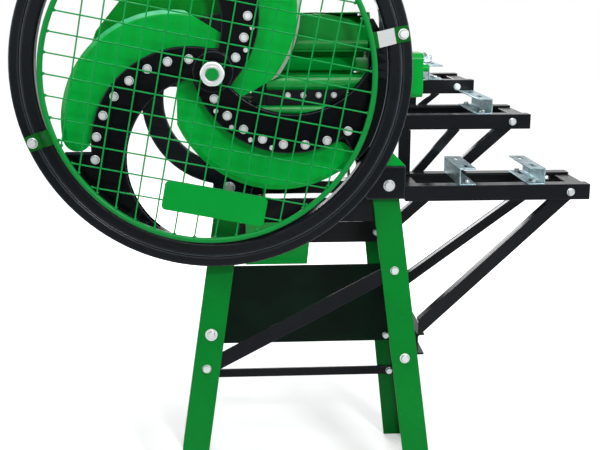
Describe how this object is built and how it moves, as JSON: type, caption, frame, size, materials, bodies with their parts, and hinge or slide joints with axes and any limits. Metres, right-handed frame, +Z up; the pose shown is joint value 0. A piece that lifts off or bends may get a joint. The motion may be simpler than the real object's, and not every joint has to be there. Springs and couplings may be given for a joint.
{
  "type": "chaff cutter",
  "caption": "Free-standing fodder cutter: a flywheel with curved blades and a wire guard, worm-driven feed rollers, a trough, angle-iron legs and motor platforms.",
  "frame": {"origin": "the floor, under the middle of the machine's box", "axes": "+Z up, the wheel faces -Y, +X to the right of someone facing the wheel"},
  "size_m": [1.3649, 0.892, 1.567],
  "materials": {
    "green_paint": "gloss green paint",
    "leg_green_paint": "gloss green paint",
    "black_cast_iron": "gloss black paint on a casting",
    "black_paint": "gloss black paint",
    "zinc_plate": "zinc plated",
    "bright_steel": "bright zinc plated"
  },
  "bodies": {
    "stand": {"head_plate": "black_cast_iron", "mouth_cap": "green_paint", "throat_lip": "green_paint", "ledger_plate": "black_cast_iron", "ledger_bolts": "bright_steel", "front_bearing": "black_cast_iron", "rear_bearing": "black_cast_iron", "bearing_bracket": "black_cast_iron", "gear_bracket": "black_cast_iron", "gear_guard": "green_paint", "roller_bushes": "bright_steel", "throat_side_left": "green_paint", "throat_side_right": "green_paint", "gear_case": "green_paint", "feed_trough": "green_paint", "trough_props": "black_paint", "front_bed_rail": "black_paint", "rear_bed_rail": "black_paint", "bed_side_rails": "black_paint", "leg_front_left": "leg_green_paint", "leg_front_right": "leg_green_paint", "leg_rear_left": "leg_green_paint", "leg_rear_right": "leg_green_paint", "rear_panel": "black_paint", "lower_bar": "black_paint", "diagonal_brace": "black_paint", "rear_beam": "black_paint", "chaff_chute": "green_paint", "frame_bolts": "bright_steel", "near_platform": "black_paint", "near_struts": "black_paint", "near_motor_rails": "zinc_plate", "mid_platform": "black_paint", "mid_struts": "black_paint", "mid_motor_rail": "zinc_plate", "top_platform": "black_paint", "top_strut": "black_paint", "top_motor_rail": "zinc_plate", "platform_bolts": "bright_steel"},
    "wheel": {"flywheel": "black_cast_iron", "blade_left": "green_paint", "blade_top": "green_paint", "blade_right": "green_paint", "blade_bolts": "bright_steel", "guard_ring": "green_paint", "guard_mesh": "green_paint", "guard_plate": "green_paint", "guard_bolts": "bright_steel", "hub_nut": "bright_steel", "hub_washer": "bright_steel", "hub_sleeve": "black_cast_iron", "main_shaft": "bright_steel", "worm": "bright_steel"},
    "lower_feed": {"lower_roller": "green_paint", "lower_roller_shaft": "bright_steel", "lower_worm_wheel": "bright_steel"},
    "upper_feed": {"upper_roller": "green_paint", "upper_roller_shaft": "bright_steel", "upper_worm_wheel": "bright_steel"}
  },
  "joints": [
    {"name": "flywheel_spin", "type": "hinge", "parent": "stand", "child": "wheel", "pos_m": [-0.2255, -0.364, 1.11], "axis": [0, 1, 0], "continuous": true},
    {"name": "lower_roller_spin", "type": "hinge", "parent": "stand", "child": "lower_feed", "pos_m": [0.0145, -0.234, 1.038], "axis": [1, 0, 0], "continuous": true},
    {"name": "upper_roller_spin", "type": "hinge", "parent": "stand", "child": "upper_feed", "pos_m": [0.0145, -0.234, 1.182], "axis": [1, 0, 0], "continuous": true}
  ],
  "couplings": [
    {"joint": "lower_roller_spin", "follows": "flywheel_spin", "ratio": 0.05},
    {"joint": "upper_roller_spin", "follows": "flywheel_spin", "ratio": -0.05}
  ]
}
